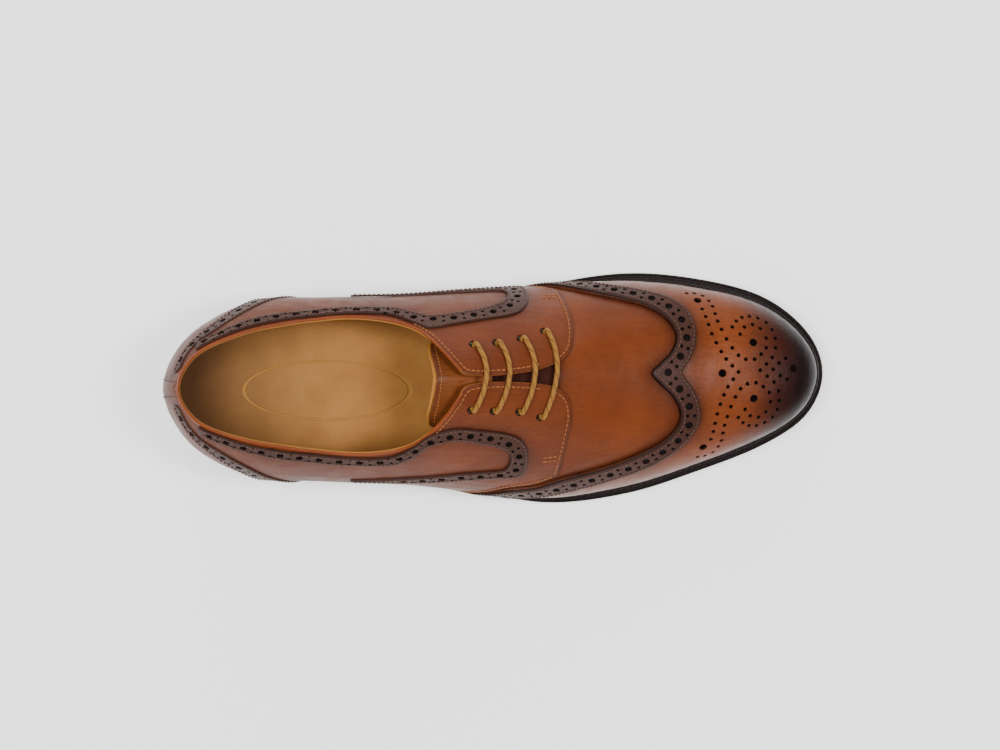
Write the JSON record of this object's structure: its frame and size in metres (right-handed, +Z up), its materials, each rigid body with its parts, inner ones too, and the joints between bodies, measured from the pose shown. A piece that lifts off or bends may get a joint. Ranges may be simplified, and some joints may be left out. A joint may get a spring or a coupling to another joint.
{
  "type": "lace-up leather shoe",
  "caption": "Right men's lace-up dress shoe with open facings, perforated wing cap, round laces, leather lining, welted sole and stacked heel; the tongue hinges at its base.",
  "frame": {"origin": "centre of the shoe's plan box, on the floor that the heel and the tread stand on", "axes": "+X from heel to toe, +Y to the inner (medial) side of the foot, +Z up"},
  "size_m": [0.3044, 0.109, 0.0899],
  "materials": {
    "sole_leather": "edge dressed, nearly black brown",
    "welt_leather": "dark dressed edge, grooved",
    "heel_leather": "stacked leather, dressed dark",
    "heel_rubber": "matt moulded rubber",
    "nail_brass": "plain",
    "shank_steel": "plain spring steel",
    "cork": "granular cork filler",
    "insole_leather": "undyed vegetable-tanned leather",
    "lining_leather": "smooth tan lining leather",
    "stiffener_board": "leather fibre board",
    "stay_canvas": "woven stay cloth",
    "vamp_leather": "cognac calf, hand-burnished",
    "cap_leather": "cognac calf, burnished dark at the toe",
    "band_leather": "dark brown calf, perforated",
    "quarter_leather": "cognac calf, fine creases",
    "binding_leather": "rolled tan edge",
    "tongue_leather": "cognac calf",
    "eyelet_metal": "antique, hidden under the facing",
    "lace_cotton": "round waxed braid",
    "aglet_plastic": "clear tan tip"
  },
  "bodies": {
    "shoe": {"outsole": "sole_leather", "welt": "welt_leather", "heel_rand": "welt_leather", "heel_lift_upper": "heel_leather", "heel_lift_lower": "heel_leather", "heel_top_piece": "heel_rubber", "heel_nails": "nail_brass", "shank": "shank_steel", "cork_filler": "cork", "insole_board": "insole_leather", "sock_liner": "lining_leather", "heel_stiffener": "stiffener_board", "toe_puff": "stiffener_board", "quarter_lining": "lining_leather", "vamp_lining": "lining_leather", "facing_stay_lateral": "stay_canvas", "facing_stay_medial": "stay_canvas", "vamp": "vamp_leather", "wing_cap": "cap_leather", "wing_band": "band_leather", "quarter_lateral": "quarter_leather", "quarter_medial": "quarter_leather", "quarter_band_lateral": "band_leather", "quarter_band_medial": "band_leather", "counter_band_lateral": "band_leather", "counter_band_medial": "band_leather", "backstay": "quarter_leather", "collar_binding": "binding_leather", "eyelets_lateral": "eyelet_metal", "eyelets_medial": "eyelet_metal", "lace": "lace_cotton", "aglets": "aglet_plastic"},
    "tongue": {"tongue": "tongue_leather", "tongue_lining": "lining_leather"}
  },
  "joints": [
    {"name": "tongue_hinge", "type": "hinge", "parent": "shoe", "child": "tongue", "pos_m": [0.031, 0.006, 0.06], "axis": [0, -1, 0], "range_deg": [0, 14]}
  ]
}
